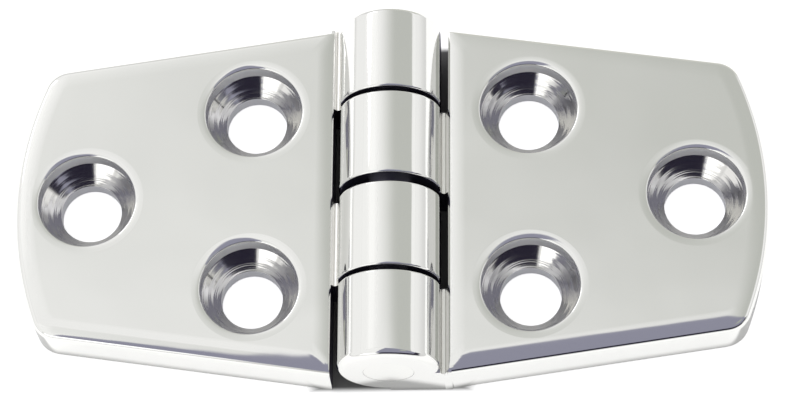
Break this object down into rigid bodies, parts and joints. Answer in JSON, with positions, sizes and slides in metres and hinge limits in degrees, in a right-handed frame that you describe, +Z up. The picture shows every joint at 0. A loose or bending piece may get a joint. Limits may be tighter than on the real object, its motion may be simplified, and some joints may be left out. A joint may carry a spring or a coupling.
{
  "type": "surface strap hinge",
  "caption": "Polished cast strap hinge with tapered leaves and recessed screw holes, turning on a barrel pin from flat to folded shut.",
  "frame": {"origin": "middle of the underside, straight below the middle of the pin, with the hinge open flat", "axes": "+X from the left leaf's tip to the right leaf's tip, +Y along the pin, +Z up off the mounting surface"},
  "size_m": [0.076, 0.0378, 0.0103],
  "materials": {
    "leaf_casting": "mirror-polished cast stainless steel",
    "pin": "turned stainless steel rod, ends dressed flush and polished"
  },
  "bodies": {
    "left": {"left_leaf": "leaf_casting", "hinge_pin": "pin"},
    "right": {"right_leaf": "leaf_casting"}
  },
  "joints": [
    {"name": "hinge", "type": "hinge", "parent": "left", "child": "right", "pos_m": [0, 0, 0.00515], "axis": [0, -1, 0], "range_deg": [0, 180]}
  ]
}
